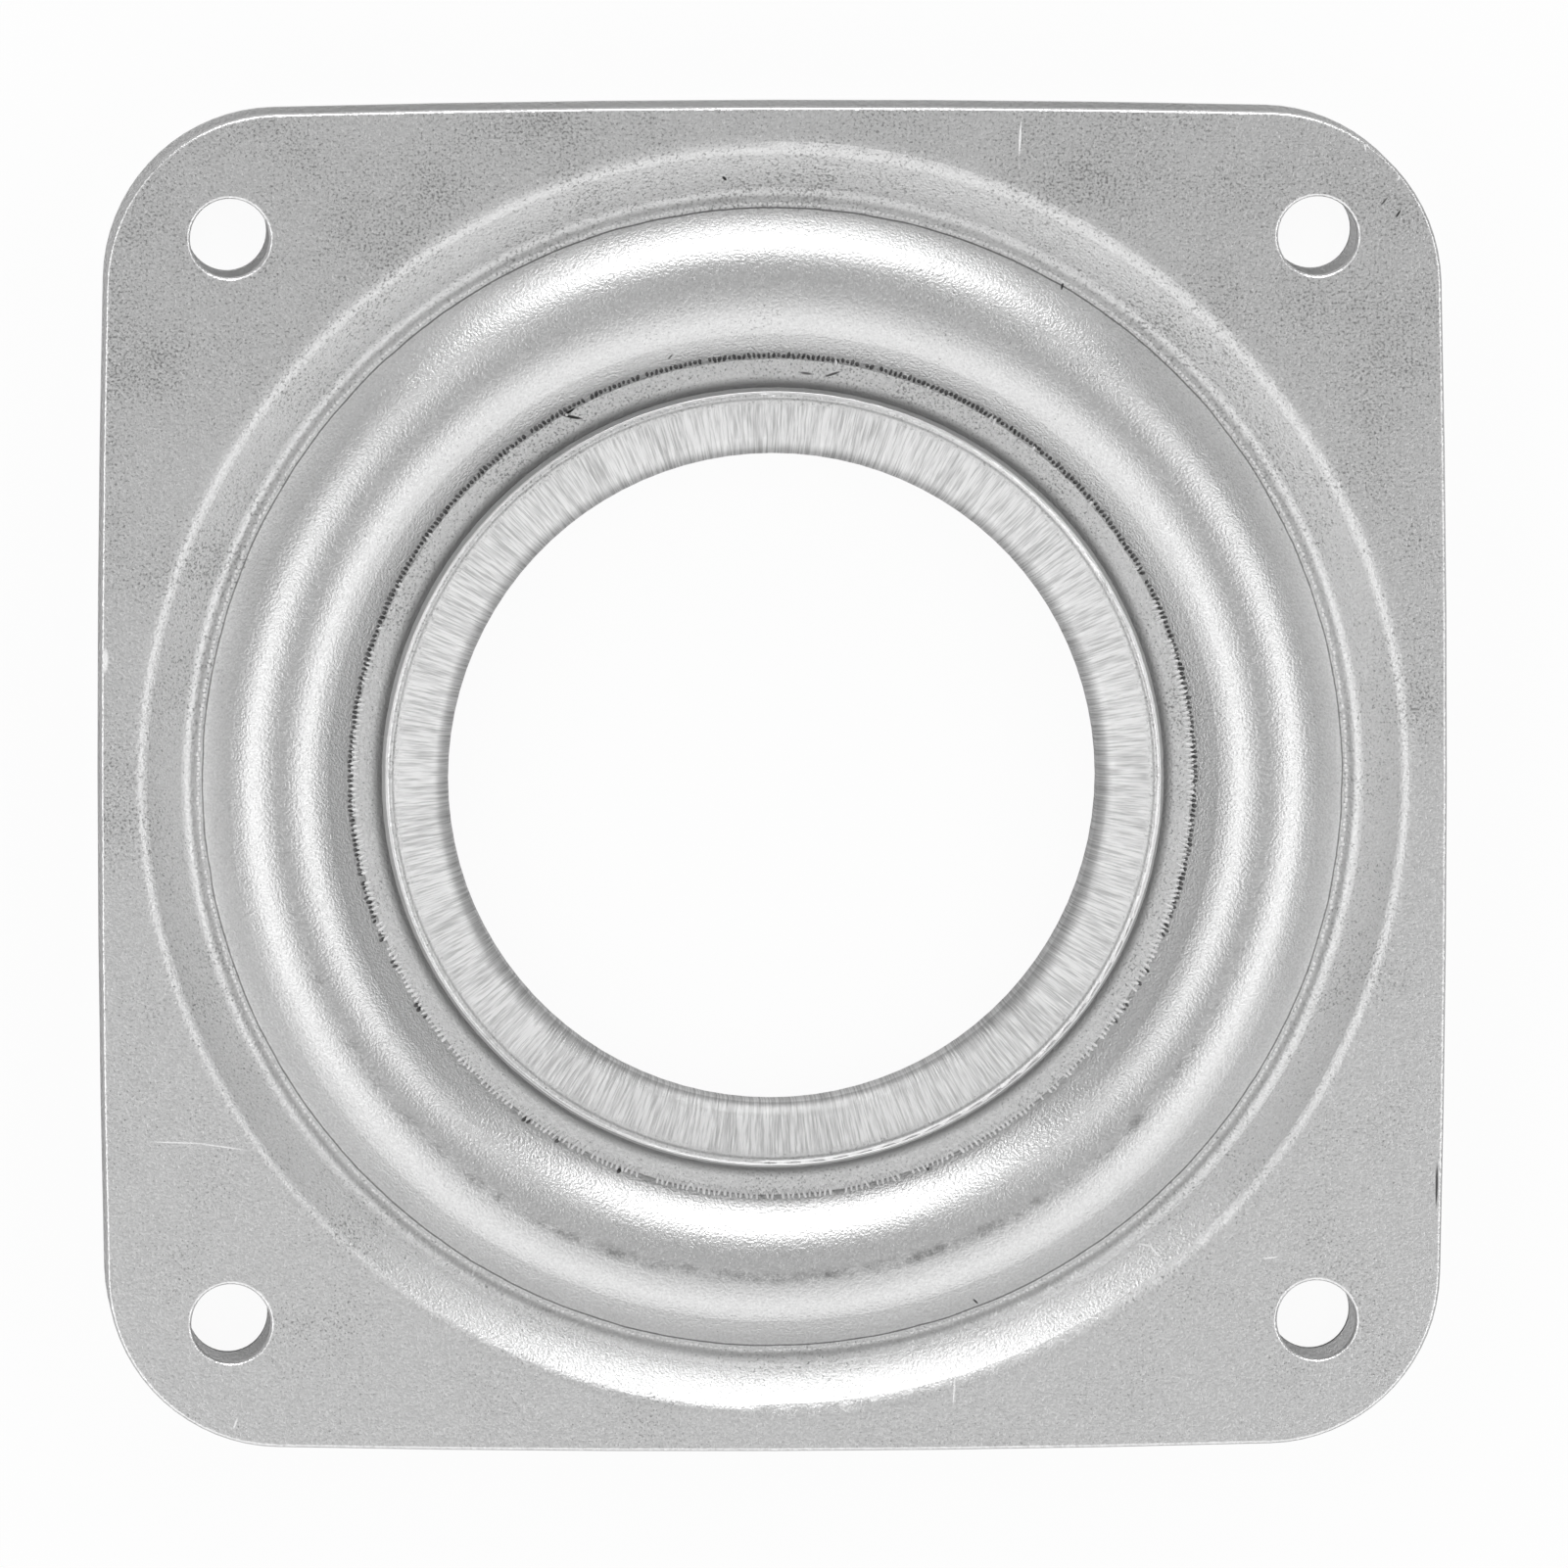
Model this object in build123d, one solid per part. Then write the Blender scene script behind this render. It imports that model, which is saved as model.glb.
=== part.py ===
from build123d import *
import math
import os

# Three inch swivel bearing: two pressed plates of galvanised sheet steel with a ring of loose balls between them.
# +Z points up out of the upper plate. The origin is on the turning axis, level with the lower mounting face.
# All sizes are in millimetres and degrees. A depth is measured from a plate's own mounting face.

# Blank that both plates are stamped from
plate_size = 76.2
corner_radius = 9.85
side_bow = 0.6
sheet = 1.0
edge_rollover = 0.2

# Screw holes
hole_inset = 7.35
hole_diameter = 4.5

# Balls and the groove that they run in
ball_diameter = 5.556
ball_gap = 0.7
race_clearance = 0.1
groove_ease = 0.572

# Pressing, the same in both plates
crown_recess = 0.122
plate_gap = 1.25
edge_margin = 2.34
wall_angle = 42.5
valley_width = 0.88
flank_angle = 40.0
inside_bend = 0.1
valley_bend = 1.2
crease_bend = 0.25

# Neck of the lower plate, flared over the upper plate's inner flange
flange_ledge = 1.84
lip_width = 3.55
lip_angle = 14.0
lip_overlap = 1.0
lip_clearance = 0.2
lip_rollover = 0.25
neck_straight = 1.7

# The height follows from the balls, and each plate is as deep as the gap between the plates allows
overall_height = ball_diameter + 2 * (race_clearance + sheet + crown_recess)
valley_depth = (overall_height - plate_gap) / 2 - sheet

# Arch over the balls: two straight flanks with a round crown, given by the point where the flanks would meet
crown_bend = ball_diameter / 2 + groove_ease + sheet
flank_slope = math.tan(math.radians(flank_angle))
apex_depth = crown_recess - crown_bend * (1 / math.cos(math.radians(flank_angle)) - 1)
arch_half_width = (valley_depth - apex_depth) / flank_slope

# Radii from the plate's edge inwards to the race
rim_radius = plate_size / 2 - edge_margin
wall_foot_radius = rim_radius - valley_depth / math.tan(math.radians(wall_angle))
outer_crease_radius = wall_foot_radius - valley_width
race_radius = outer_crease_radius - arch_half_width
inner_crease_radius = race_radius - arch_half_width

# Radii from the race inwards to the throat
lip_radius = inner_crease_radius - flange_ledge
throat_radius = lip_radius - lip_width
upper_hole_radius = lip_radius - lip_overlap

# The lip is as high as its underside needs to clear the edge of the upper plate's inner flange
lip_slope = math.tan(math.radians(lip_angle))
lip_upright_thickness = sheet / math.cos(math.radians(lip_angle))
flange_top = overall_height - valley_depth
lip_height = flange_top + lip_clearance + lip_upright_thickness + lip_overlap * lip_slope

# The flare's bend takes the room that is left above the straight of the neck
outside_bend = inside_bend + sheet
flare_corner_height = lip_height - lip_width * lip_slope
flare_room = flare_corner_height - valley_depth - outside_bend - neck_straight
flare_bend = flare_room / math.tan(math.radians(90 - lip_angle) / 2)

ball_count = int(2 * math.pi * race_radius / (ball_diameter + ball_gap))


def blank_outline():
    """Square with slightly bowed sides and round corners."""
    reach = plate_size / 2
    corner = reach - side_bow
    side = ThreePointArc((-corner, -corner), (0, -reach), (corner, -corner))
    sides = [Rot(0, 0, 90 * turn) * side for turn in range(4)]
    outline = make_face(Curve() + sides)
    return fillet(outline.vertices(), corner_radius)


def blank():
    """Block as high as the bearing, with the screw holes through it and rolled-over edges on its lower face."""
    hole_spacing = plate_size - 2 * hole_inset
    holes = GridLocations(hole_spacing, hole_spacing, 2, 2) * Circle(hole_diameter / 2)
    block = extrude(blank_outline() - holes, overall_height)
    punched_edges = block.edges().group_by(Axis.Z)[0]
    return fillet(punched_edges, edge_rollover)


def race_path():
    """Mounting side of a plate from its outside inwards, as corners of radius and depth, and their bends."""
    corners = [
        (plate_size, 0),
        (rim_radius, 0),
        (wall_foot_radius, valley_depth),
        (outer_crease_radius, valley_depth),
        (race_radius, apex_depth),
        (inner_crease_radius, valley_depth),
    ]
    bends = [outside_bend, valley_bend, crease_bend, crown_bend, crease_bend]
    return corners, bends


def sheet_section(corners, bends):
    """Section of a bent sheet, which lies to the right of the path that its face side follows."""
    points = [Vector(x, y) for x, y in corners]
    ways = [(end - start).normalized() for start, end in zip(points, points[1:])]
    rights = [Vector(way.Y, -way.X) for way in ways]
    back_points = [points[0] + rights[0] * sheet]
    back_bends = []
    for point, bend, before, after in zip(points[1:-1], bends, rights, rights[1:]):
        back_points.append(point + (before + after) * (sheet / (1 + before.dot(after))))
        turns_right = before.cross(after).Z < 0
        back_bends.append(bend - sheet if turns_right else bend + sheet)
    back_points.append(points[-1] + rights[-1] * sheet)
    face_side = FilletPolyline(*points, radius=bends)
    back_side = FilletPolyline(*back_points, radius=back_bends)
    ends = [Line(points[0], back_points[0]), Line(points[-1], back_points[-1])]
    return make_face(face_side.edges() + back_side.edges() + ends)


def press(section):
    """Plate with its mounting face at height zero, from its section turned about the axis and its blank."""
    return revolve(Plane.XZ * section, Axis.Z) & blank()


def upper_plate():
    """Plate on top, with a plain hole in its inner flange."""
    corners, bends = race_path()
    corners.append((upper_hole_radius, valley_depth))
    plate = press(sheet_section(corners, bends))
    return Pos(0, 0, overall_height) * mirror(plate, Plane.XY)


def lower_plate():
    """Plate below, with its middle drawn up through the upper plate and flared over it."""
    corners, bends = race_path()
    lip_edge = (lip_radius, lip_height)
    corners += [(throat_radius, valley_depth), (throat_radius, flare_corner_height), lip_edge]
    bends += [outside_bend, flare_bend]
    section = sheet_section(corners, bends)
    lip_corner = section.vertices().sort_by_distance(lip_edge)[0]
    return press(fillet(lip_corner, lip_rollover))


def ball(index):
    """One ball of the ring, midway between the two races."""
    around = Rot(0, 0, 360 / ball_count * index)
    return around * Pos(race_radius, 0, overall_height / 2) * Sphere(ball_diameter / 2)


def main():
    """Write one file for each piece."""
    os.makedirs("parts", exist_ok=True)
    export_step(lower_plate(), "parts/lower_plate.step")
    export_step(upper_plate(), "parts/upper_plate.step")
    for index in range(ball_count):
        export_step(ball(index), f"parts/ball_{index + 1:02d}.step")


main()
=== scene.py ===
"""Looks of a three inch swivel bearing: two pressed plates of galvanised sheet steel and a ring of balls.

Everything is in metres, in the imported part's own frame: +Z points up out of the upper plate, and the origin
lies on the turning axis, level with the lower mounting face. In the photograph +X points right and +Y up.
"""
import logging
import math
from abc import ABC, abstractmethod
from dataclasses import dataclass
from enum import Enum

import bpy
from mathutils import Euler, Matrix, Vector


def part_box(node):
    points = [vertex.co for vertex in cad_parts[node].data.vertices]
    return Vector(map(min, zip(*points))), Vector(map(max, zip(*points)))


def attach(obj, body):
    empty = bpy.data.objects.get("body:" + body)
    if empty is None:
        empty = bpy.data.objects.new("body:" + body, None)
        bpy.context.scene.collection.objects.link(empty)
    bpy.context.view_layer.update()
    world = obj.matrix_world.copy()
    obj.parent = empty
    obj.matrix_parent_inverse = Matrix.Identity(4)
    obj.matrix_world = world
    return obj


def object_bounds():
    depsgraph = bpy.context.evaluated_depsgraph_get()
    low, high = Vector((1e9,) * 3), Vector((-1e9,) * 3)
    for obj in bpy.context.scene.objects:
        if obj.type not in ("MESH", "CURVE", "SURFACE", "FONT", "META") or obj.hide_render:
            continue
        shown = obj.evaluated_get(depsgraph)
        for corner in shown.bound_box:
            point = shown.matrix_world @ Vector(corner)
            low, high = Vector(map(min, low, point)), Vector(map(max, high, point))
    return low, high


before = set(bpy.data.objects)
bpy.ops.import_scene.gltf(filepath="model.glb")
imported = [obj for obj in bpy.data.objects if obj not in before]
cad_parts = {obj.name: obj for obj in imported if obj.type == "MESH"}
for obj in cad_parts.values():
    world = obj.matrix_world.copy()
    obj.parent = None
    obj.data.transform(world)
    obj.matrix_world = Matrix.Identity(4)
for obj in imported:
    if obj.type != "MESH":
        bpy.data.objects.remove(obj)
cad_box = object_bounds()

MM = 0.001
LOG = logging.getLogger("swivel_bearing")

MATH = "ShaderNodeMath"
VECTOR_MATH = "ShaderNodeVectorMath"
MAP_RANGE = "ShaderNodeMapRange"
MIX = "ShaderNodeMix"
NOISE = "ShaderNodeTexNoise"

Colour = tuple[float, float, float, float]
Tree = bpy.types.NodeTree
Socket = bpy.types.NodeSocket
Outputs = bpy.types.NodeOutputs
Sockets = dict[str, Socket]
NodeInputs = dict[int | str, object]


def linear(hex_colour: str) -> Colour:
    """Turn a colour on the screen into the linear one that a shader takes.

    Args:
        hex_colour: The sRGB colour as #RRGGBB.

    Returns:
        Red, green, blue and an alpha of 1, in linear light.
    """
    channels = [int(hex_colour[place:place + 2], 16) / 255 for place in (1, 3, 5)]
    red, green, blue = [c / 12.92 if c <= 0.04045 else ((c + 0.055) / 1.055) ** 2.4 for c in channels]
    return red, green, blue, 1.0


def add_node(tree: Tree, kind: str, inputs: NodeInputs | None = None, **settings: object) -> Outputs:
    """Add one node to a tree.

    Args:
        tree: Tree that gets the node.
        kind: Blender's name for the type of node.
        inputs: Each input's value, or the socket that feeds it, by the input's name or place.
        **settings: Properties of the node itself.

    Returns:
        The new node's outputs.
    """
    node = tree.nodes.new(kind)
    for name, value in settings.items():
        setattr(node, name, value)
    for key, value in (inputs or {}).items():
        if isinstance(value, Socket):
            tree.links.new(value, node.inputs[key])
        else:
            node.inputs[key].default_value = value
    return node.outputs


def new_material(name: str) -> bpy.types.Material:
    """Make a material whose tree is still empty.

    Args:
        name: Name of the finish.

    Returns:
        The material.
    """
    material = bpy.data.materials.new(name)
    material.use_nodes = True
    material.node_tree.nodes.clear()
    return material


def new_object(name: str, data: bpy.types.ID) -> bpy.types.Object:
    """Put a new object into the scene.

    Args:
        name: Name of the object.
        data: Its mesh, light or camera.

    Returns:
        The object.
    """
    thing = bpy.data.objects.new(name, data)
    bpy.context.scene.collection.objects.link(thing)
    return thing


def facing(away: Vector, up: Vector) -> Euler:
    """Work out how to turn a lamp or a camera, which both look along their own -Z.

    Args:
        away: Direction from what is looked at to the object, of length 1.
        up: Direction that is to be upright in the picture.

    Returns:
        The object's rotation.
    """
    right = up.cross(away).normalized()
    return Matrix((right, away.cross(right), away)).transposed().to_euler()


@dataclass(frozen=True)
class Pressing:
    """Sizes of the pressed form that both plates share.

    Radii are measured from the turning axis, on the side of the sheet that faces the mounting surface.
    """

    sheet: float = 1.0 * MM
    flank_angle: float = math.radians(40)
    crown_bend: float = 4.35 * MM
    crown_recess: float = 0.122 * MM
    flange_ledge: float = 1.84 * MM
    lip_width: float = 3.55 * MM
    edge_margin: float = 2.34 * MM

    @property
    def race_radius(self) -> float:
        """Radius of the circle on which the balls' centres lie."""
        low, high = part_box("ball_01")
        return (low.x + high.x) / 2

    @property
    def height(self) -> float:
        """Height of the upper mounting face."""
        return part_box("upper_plate")[1].z

    @property
    def flange_top(self) -> float:
        """Height of the upper plate's flat valleys, on either side of the arch over the balls."""
        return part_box("upper_plate")[0].z + self.sheet

    @property
    def arch_half_width(self) -> float:
        """Distance from the race to the crease at either foot of the arch."""
        apex_depth = self.crown_recess - self.crown_bend * (1 / math.cos(self.flank_angle) - 1)
        return (self.height - self.flange_top - apex_depth) / math.tan(self.flank_angle)

    @property
    def outer_crease(self) -> float:
        """Radius of the crease outside the arch."""
        return self.race_radius + self.arch_half_width

    @property
    def inner_crease(self) -> float:
        """Radius of the crease inside the arch."""
        return self.race_radius - self.arch_half_width

    @property
    def lip_radius(self) -> float:
        """Radius of the flared lip's upper edge."""
        return self.inner_crease - self.flange_ledge

    @property
    def throat_radius(self) -> float:
        """Radius of the neck's bore."""
        return self.lip_radius - self.lip_width

    @property
    def rim_radius(self) -> float:
        """Radius at which the flat rim bends down into the pressing."""
        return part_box("upper_plate")[1].x - self.edge_margin


class PlateSide(Enum):
    """Which of the two plates a finish is for."""

    UPPER = "upper"
    LOWER = "lower"


@dataclass(frozen=True)
class Scratch:
    """One fine scratch or dent in the outer face, seen from straight above, in millimetres and degrees."""

    right: float
    up: float
    length: float
    width: float
    angle: float
    tone: str = "#FFFFFF"
    depth: float = 1.0


@dataclass(frozen=True)
class Band:
    """A narrow ring of the finish, in millimetres.

    Its middle lies outside a circle of the pressing, or inside it if the number is negative. The band fades
    from its core out to its reach, both counted from the middle.
    """

    outside: float
    reach: float
    core: float
    strength: float = 1.0

    def mask(self, tree: Tree, radius: Socket, circle: float) -> Socket:
        """Mark the band.

        Args:
            tree: The material's tree.
            radius: Distance from the turning axis.
            circle: Radius of the pressing's circle.

        Returns:
            The mask.
        """
        off = add_node(tree, MATH, {0: radius, 1: circle + self.outside * MM}, operation="SUBTRACT")[0]
        away = add_node(tree, MATH, {0: off}, operation="ABSOLUTE")[0]
        return add_node(tree, MAP_RANGE, {
            "Value": away, "From Min": self.reach * MM, "From Max": self.core * MM,
            "To Max": self.strength})[0]


@dataclass
class Coat:
    """A plate's finish as it builds up, zone over zone.

    Its sockets say where a point is: the level spot is the spot without its height, the radius is its
    distance from the turning axis, and the tilt is the upright part of its normal.
    """

    tree: Tree
    pressing: Pressing
    spot: Socket
    level: Socket
    radius: Socket
    tilt: Socket
    grain: Socket
    colour: Socket | Colour
    rough: Socket | float

    def cover(self, share: Socket, tone: Socket | Colour | None = None, gloss: float | None = None) -> None:
        """Lay one zone over the finish so far.

        Args:
            share: Mask of the zone.
            tone: Colour of the zone, or None where the colour stays.
            gloss: Roughness of the zone, or None where the roughness stays.
        """
        if tone is not None:
            self.colour = add_node(self.tree, MIX, {0: share, 6: self.colour, 7: tone}, data_type="RGBA")[2]
        if gloss is not None:
            self.rough = add_node(self.tree, MIX, {0: share, 2: self.rough, 3: gloss})[0]


@dataclass(frozen=True)
class GalvanisedSheet:
    """Hot-dip galvanised sheet steel as it comes from the press.

    The zinc is a neutral light grey metal with a satin gloss and a fine grain of bright and dark specks.
    Between the two creases the die has ironed the grain almost smooth, and on the neck it has drawn it out
    into streaks. Rolled-over edges are burnished bright and sheared edges show bare steel. The faces between
    the plates are dull, and a little darker as painted shade. Painted shade also darkens the creases, the
    valley floor, the strip along the lip, the lip's inner bend and end face, a ring above the throat and the
    plate towards +Y. The streaks are drawn coarser than real ones, which are too fine for the render.
    """

    zinc: str = "#F3F3F3"
    speck: str = "#A6A6A6"
    burnished: str = "#FFFFFF"
    sheared: str = "#F2F2F2"
    # Painted shade between the plates: the inner faces' darker tone.
    inner_face_shade: str = "#E2E2E2"
    # Painted shade on the lip's sheared end face.
    lip_end_shade: str = "#8A8A8A"
    # Colour of painted shade: the lines in the creases, a ring on the lip's inner bend and a ring above the
    # throat.
    shade_line: str = "#8A8A8A"
    worn: str = "#8E8E8E"
    # Colour of painted shade on the valley floor and of painted shadow along the lip.
    shadow_grey: str = "#9C9C9C"

    roughness: float = 0.41
    ironed_roughness: float = 0.34
    burnished_roughness: float = 0.28
    sheared_roughness: float = 0.55
    neck_roughness: float = 0.52
    ledge_roughness: float = 0.50
    scratch_roughness: float = 0.9

    grain_size: float = 0.15 * MM
    grain_height: float = 0.06 * MM
    grain_share: float = 0.75
    ironed_grain_share: float = 0.66
    ironed_fade: float = 0.12 * MM
    mottle: float = 0.14

    speck_size: float = 0.16 * MM
    cloud_size: float = 7.0 * MM
    cloud_share: float = 0.38
    ironed_specks: float = -0.10
    # Painted shade towards +Y: how far it spreads, how much it crowds the specks, and where and how much it
    # darkens the flat rim.
    top_shade_reach: float = 76.0 * MM
    top_shade_share: float = 0.08
    top_shade_margin: float = 0.4 * MM
    top_shade_fade: float = 0.5 * MM
    top_shade_on_rim: float = 0.88

    streak_width: float = 0.12 * MM
    streak_stretch: float = 0.07
    streak_fade: float = 0.5 * MM
    smooth_rim: float = 0.35 * MM
    tone_width: float = 1.5 * MM
    # Painted shade ring above the throat: where it starts, is full, fades and ends.
    throat_ring: tuple[float, float, float, float] = (0.08 * MM, 0.13 * MM, 0.55 * MM, 1.05 * MM)

    wander: float = 0.12 * MM
    wander_size: float = 2.0 * MM
    # Painted shade: dark lines in both creases, and a band on the valley floor beside the outer crease.
    inner_line: Band = Band(outside=0.06, reach=0.06, core=0.03, strength=0.6)
    outer_line: Band = Band(outside=0.06, reach=0.06, core=0.03)
    valley_shade: Band = Band(outside=0.6, reach=0.28, core=0.05, strength=0.5)
    crest_line: Band = Band(outside=0.25, reach=0.5, core=0.1)
    # Painted shade on the lip's inner bend, just inside its edge.
    lip_bend_shade: Band = Band(outside=-0.36, reach=0.12, core=0.0, strength=0.6)
    patch_size: float = 2.2 * MM
    # Painted shadow along the lip: its width and its fade.
    lip_shadow_width: float = 0.42 * MM
    lip_shadow_fade: float = 0.45 * MM
    ledge_inset: float = 0.1 * MM
    lip_end_width: float = 0.28 * MM
    lip_fade: float = 0.1 * MM
    clear_tilt: float = 0.2

    scratch_edge: float = 2.5
    scratches: tuple[Scratch, ...] = (
        Scratch(13.9, 36.3, 2.2, 0.08, 87),
        Scratch(37.55, -23.1, 3.2, 0.09, 89, "#747474", 0.8),
        Scratch(10.2, -34.7, 2.4, 0.06, 86, depth=0.7),
        Scratch(33.4, 36.0, 1.1, 0.07, -83),
        Scratch(35.4, 34.1, 0.7, 0.07, 55),
        Scratch(35.3, 32.0, 0.6, 0.07, 58, "#505050"),
        Scratch(34.5, 32.7, 0.8, 0.06, 50, "#707070", 0.7),
        Scratch(-33.8, -20.45, 3.8, 0.05, -2, depth=0.8),
        Scratch(-31.3, -20.68, 3.2, 0.05, -8, depth=0.8),
        Scratch(-37.85, 6.9, 1.6, 0.25, 88),
        Scratch(-11.3, 20.45, 1.3, 0.10, -10, "#404040"),
        Scratch(-11.5, 20.75, 0.9, 0.09, 34, "#404040"),
        Scratch(-2.75, 34.0, 0.4, 0.10, -45, "#505050"),
        Scratch(16.4, 27.8, 0.5, 0.08, 75, "#606060"),
        Scratch(21.1, -26.6, 0.9, 0.07, -9),
        Scratch(21.6, -26.9, 0.9, 0.08, -51),
        Scratch(28.1, -27.2, 1.1, 0.06, 6, depth=0.8),
        Scratch(-30.5, -36.4, 0.8, 0.07, 70, depth=0.8),
        Scratch(11.5, -29.8, 0.5, 0.07, -45, "#707070"),
        Scratch(3.4, 22.85, 1.1, 0.08, 18, "#6C6C6C"),
        Scratch(1.9, 22.9, 1.0, 0.10, -8, "#808080", 0.7),
        Scratch(-5.8, 23.9, 0.5, 0.06, 50, "#8C8C8C", 0.8),
        Scratch(7.65, 22.75, 0.6, 0.08, -25),
    )

    def material(self, side: PlateSide, pressing: Pressing) -> bpy.types.Material:
        """Make the material for one plate.

        Args:
            side: Plate that the material is for.
            pressing: Sizes of the pressed form, which say where the die has touched the sheet.

        Returns:
            The material.
        """
        material = new_material(f"galvanised_sheet_{side.value}")
        tree = material.node_tree
        place = add_node(tree, "ShaderNodeTexCoord")
        spot = place["Object"]
        level = add_node(tree, VECTOR_MATH, {0: spot, 1: (1, 1, 0)}, operation="MULTIPLY")[0]
        radius = add_node(tree, VECTOR_MATH, {0: level}, operation="LENGTH")["Value"]
        tilt = add_node(tree, "ShaderNodeSeparateXYZ", {0: place["Normal"]})["Z"]
        grain = add_node(tree, NOISE, {
            "Vector": spot, "Scale": 1 / self.grain_size, "Detail": 2.0, "Roughness": 0.6})["Fac"]
        coat = Coat(tree, pressing, spot, level, radius, tilt, grain, linear(self.zinc), self.roughness)

        ironed = self.ironed_zone(coat)
        coat.cover(ironed, gloss=self.ironed_roughness)
        self.speckle(coat, ironed)
        self.mark_creases(coat)
        self.wear_crest(coat)
        self.mottle_grain(coat)
        if side is PlateSide.UPPER:
            self.finish_upper(coat)
        else:
            self.finish_lower(coat)

        grain_share = add_node(tree, MAP_RANGE, {
            "Value": ironed, "To Min": self.grain_share, "To Max": self.ironed_grain_share})[0]
        bump = add_node(tree, "ShaderNodeBump", {
            "Strength": grain_share, "Distance": self.grain_height, "Height": coat.grain})[0]
        shader = add_node(tree, "ShaderNodeBsdfPrincipled", {
            "Base Color": coat.colour, "Metallic": 1.0, "Roughness": coat.rough, "Normal": bump})
        add_node(tree, "ShaderNodeOutputMaterial", {"Surface": shader[0]})
        return material

    def ironed_zone(self, coat: Coat) -> Socket:
        """Mark the arch between the two creases, which the die has rubbed smooth.

        Args:
            coat: The finish so far.

        Returns:
            The mask, 1 on the arch.
        """
        inside, outside = [
            add_node(coat.tree, MAP_RANGE, {
                "Value": coat.radius, "From Min": crease, "From Max": crease + fade})[0]
            for crease, fade in (
                (coat.pressing.inner_crease, self.ironed_fade),
                (coat.pressing.outer_crease, -self.ironed_fade))]
        return add_node(coat.tree, MATH, {0: inside, 1: outside}, operation="MULTIPLY")[0]

    def speckle(self, coat: Coat, ironed: Socket) -> None:
        """Add the dark specks, and painted shade towards +Y: denser specks there and a darker flat rim.

        Args:
            coat: The finish so far.
            ironed: Mask of the smooth arch, which keeps few specks.
        """
        tree = coat.tree
        cloud = add_node(tree, NOISE, {
            "Vector": coat.spot, "Scale": 1 / self.cloud_size, "Detail": 3.0, "Roughness": 0.6})["Fac"]
        fine = add_node(tree, NOISE, {
            "Vector": coat.spot, "Scale": 1 / self.speck_size, "Detail": 2.0, "Roughness": 0.6})["Fac"]
        up = add_node(tree, "ShaderNodeSeparateXYZ", {0: coat.spot})["Y"]
        # Painted shade: a share that grows towards +Y, which crowds the specks and darkens the flat rim on
        # that side.
        top_shade = add_node(tree, MAP_RANGE, {
            "Value": up, "From Min": -self.top_shade_reach / 2, "From Max": self.top_shade_reach / 2,
            "To Max": self.top_shade_share})[0]
        patchy = add_node(tree, MATH, {0: cloud, 1: self.cloud_share, 2: fine}, operation="MULTIPLY_ADD")[0]
        crowd = add_node(tree, MATH, {0: patchy, 1: top_shade}, operation="ADD")[0]
        left = add_node(tree, MATH, {
            0: ironed, 1: self.ironed_specks, 2: crowd}, operation="MULTIPLY_ADD")[0]
        faint, full = 0.80, 0.96
        specks = add_node(tree, MAP_RANGE, {"Value": left, "From Min": faint, "From Max": full})[0]
        coat.cover(specks, linear(self.speck))

        # Painted shade: the flat rim beyond the pressing is darkened towards +Y.
        top_shade_edge = coat.pressing.rim_radius + self.top_shade_margin
        skin = add_node(tree, MAP_RANGE, {
            "Value": coat.radius, "From Min": top_shade_edge, "From Max": top_shade_edge + self.top_shade_fade,
            "To Min": 1.0, "To Max": self.top_shade_on_rim})[0]
        faint, full = 0.02, 0.07
        top_shade_scale = add_node(tree, MAP_RANGE, {
            "Value": top_shade, "From Min": faint, "From Max": full, "To Min": 1.0, "To Max": skin})[0]
        coat.colour = add_node(tree, VECTOR_MATH, {0: coat.colour, "Scale": top_shade_scale}, operation="SCALE")[0]

    def mark_creases(self, coat: Coat) -> None:
        """Paint a fine dark line of shade into each crease, and a band of shade on the valley floor outside
        the outer crease.

        Args:
            coat: The finish so far.
        """
        noise = add_node(coat.tree, NOISE, {
            "Vector": coat.spot, "Scale": 1 / self.wander_size, "Detail": 4.0})["Fac"]
        shifted = add_node(coat.tree, MATH, {
            0: noise, 1: self.wander, 2: coat.radius}, operation="MULTIPLY_ADD")[0]
        # Painted shade in the creases and on the valley floor outside the outer crease.
        for band, circle, tone in (
            (self.inner_line, coat.pressing.inner_crease, self.shade_line),
            (self.outer_line, coat.pressing.outer_crease, self.shade_line),
            (self.valley_shade, coat.pressing.outer_crease, self.shadow_grey),
        ):
            coat.cover(band.mask(coat.tree, shifted, circle), linear(tone))

    def wear_crest(self, coat: Coat) -> None:
        """Darken patches of a narrow line along the top of the arch, more of them towards -Y.

        Args:
            coat: The finish so far.
        """
        tree = coat.tree
        near = self.crest_line.mask(tree, coat.radius, coat.pressing.race_radius)
        noise = add_node(tree, NOISE, {
            "Vector": coat.spot, "Scale": 1 / self.patch_size, "Detail": 6.0, "Roughness": 0.9})["Fac"]
        up = add_node(tree, "ShaderNodeSeparateXYZ", {0: coat.spot})["Y"]
        fewer, more = -0.10, 0.07
        lean = add_node(tree, MAP_RANGE, {
            "Value": up, "From Min": 0.0, "From Max": -coat.pressing.race_radius,
            "To Min": fewer, "To Max": more})[0]
        patchy = add_node(tree, MATH, {0: noise, 1: lean}, operation="ADD")[0]
        faint, full = 0.5, 0.75
        patches = add_node(tree, MAP_RANGE, {"Value": patchy, "From Min": faint, "From Max": full})[0]
        share = add_node(tree, MATH, {0: near, 1: patches}, operation="MULTIPLY")[0]
        coat.cover(share, linear(self.worn))

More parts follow.
